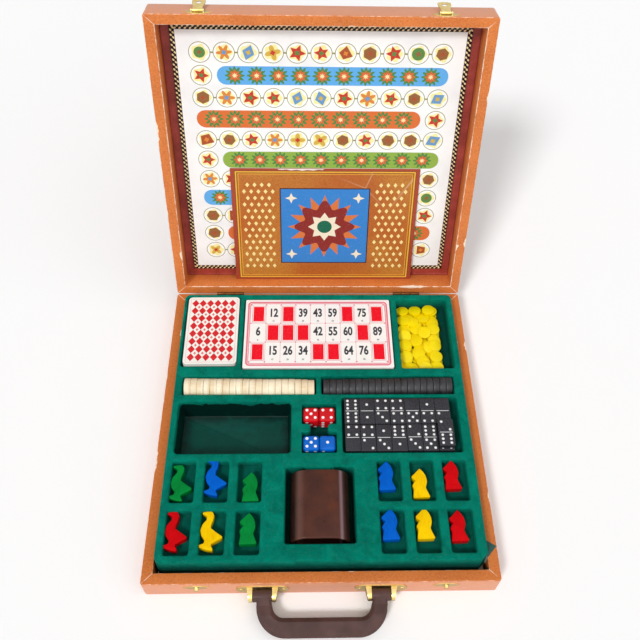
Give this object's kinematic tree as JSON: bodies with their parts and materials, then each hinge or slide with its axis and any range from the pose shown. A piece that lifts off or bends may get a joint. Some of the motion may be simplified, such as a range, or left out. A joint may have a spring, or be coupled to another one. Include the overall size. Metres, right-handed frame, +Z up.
{
  "type": "games compendium case",
  "caption": "Shallow square case with a hinged lid, two hasp latches and a carrying handle, holding a moulded green tray of classic game pieces.",
  "frame": {"origin": "centre of the base's underside", "axes": "+X to the right seen from the handle side, +Y from the handle to the hinges, +Z up"},
  "size_m": [0.32, 0.4606, 0.3419],
  "materials": {
    "leatherette": "satin, leather-look paper wrapped over the wooden rails",
    "panel_covering": "satin, leather-look paper over hardboard",
    "maroon_lining": "matt maroon lining paper",
    "printed_card": "satin printed card",
    "leaflet_card": "satin printed card, brown with a gold frame",
    "board_card": "matt greyboard",
    "green_flock": "green flock on moulded plastic",
    "dark_flock": "dark green flocked ribbon",
    "playing_cards": "smooth white card with a red back pattern",
    "yellow_plastic": "glossy translucent yellow",
    "natural_wood": "bare turned beech",
    "black_wood": "black stained wood",
    "domino_plastic": "black with white pips",
    "red_plastic": "glossy red with white pips",
    "blue_plastic": "glossy blue with white pips",
    "green_paint": "green lacquered wood",
    "blue_paint": "blue lacquered wood",
    "red_paint": "red lacquered wood",
    "yellow_paint": "yellow lacquered wood",
    "cup_leather": "polished brown leatherette",
    "handle_leather": "soft brown padded leatherette",
    "brass": "brass-plated steel, polished"
  },
  "bodies": {
    "base": {"base_back_rail": "leatherette", "base_bottom_panel": "panel_covering", "base_front_rail": "leatherette", "base_left_rail": "leatherette", "base_right_rail": "leatherette", "black_draughts": "black_wood", "blue_dice": "blue_plastic", "card_deck": "playing_cards", "counters": "yellow_plastic", "dice_cup": "cup_leather", "dominoes": "domino_plastic", "draughts_board": "board_card", "goose_blue": "blue_paint", "goose_green": "green_paint", "goose_red": "red_paint", "goose_yellow": "yellow_paint", "handle_bracket_left": "brass", "handle_bracket_right": "brass", "handle_pins": "brass", "hinge_base_leaf_left": "brass", "hinge_base_leaf_right": "brass", "hinge_pins": "brass", "horses_blue": "blue_paint", "horses_green": "green_paint", "horses_red": "red_paint", "horses_yellow": "yellow_paint", "keeper_left": "brass", "keeper_right": "brass", "loto_cards": "playing_cards", "natural_draughts": "natural_wood", "race_board": "board_card", "red_dice": "red_plastic", "tray": "green_flock", "tray_lift_tab": "dark_flock"},
    "lid": {"hinge_lid_leaf_left": "brass", "hinge_lid_leaf_right": "brass", "latch_pins": "brass", "latch_plate_left": "brass", "latch_plate_right": "brass", "leaflet": "leaflet_card", "lid_back_rail": "leatherette", "lid_front_rail": "leatherette", "lid_left_rail": "leatherette", "lid_lining": "maroon_lining", "lid_panel": "panel_covering", "lid_right_rail": "leatherette", "printed_board": "printed_card"},
    "hasp_left": {"hasp_left": "brass"},
    "hasp_right": {"hasp_right": "brass"},
    "handle": {"handle": "handle_leather"}
  },
  "joints": [
    {"name": "lid_hinge", "type": "hinge", "parent": "base", "child": "lid", "pos_m": [0, 0.16, 0.02775], "axis": [1, 0, 0], "range_deg": [0, 103.36]},
    {"name": "hasp_left_swing", "type": "hinge", "parent": "lid", "child": "hasp_left", "pos_m": [-0.1113, 0.23907, 0.34013], "axis": [1, 0, 0], "range_deg": [0, 172]},
    {"name": "hasp_right_swing", "type": "hinge", "parent": "lid", "child": "hasp_right", "pos_m": [0.1113, 0.23907, 0.34013], "axis": [1, 0, 0], "range_deg": [0, 172]},
    {"name": "handle_swing", "type": "hinge", "parent": "base", "child": "handle", "pos_m": [0, -0.1665, 0.01375], "axis": [1, 0, 0], "range_deg": [-94, 65]}
  ]
}
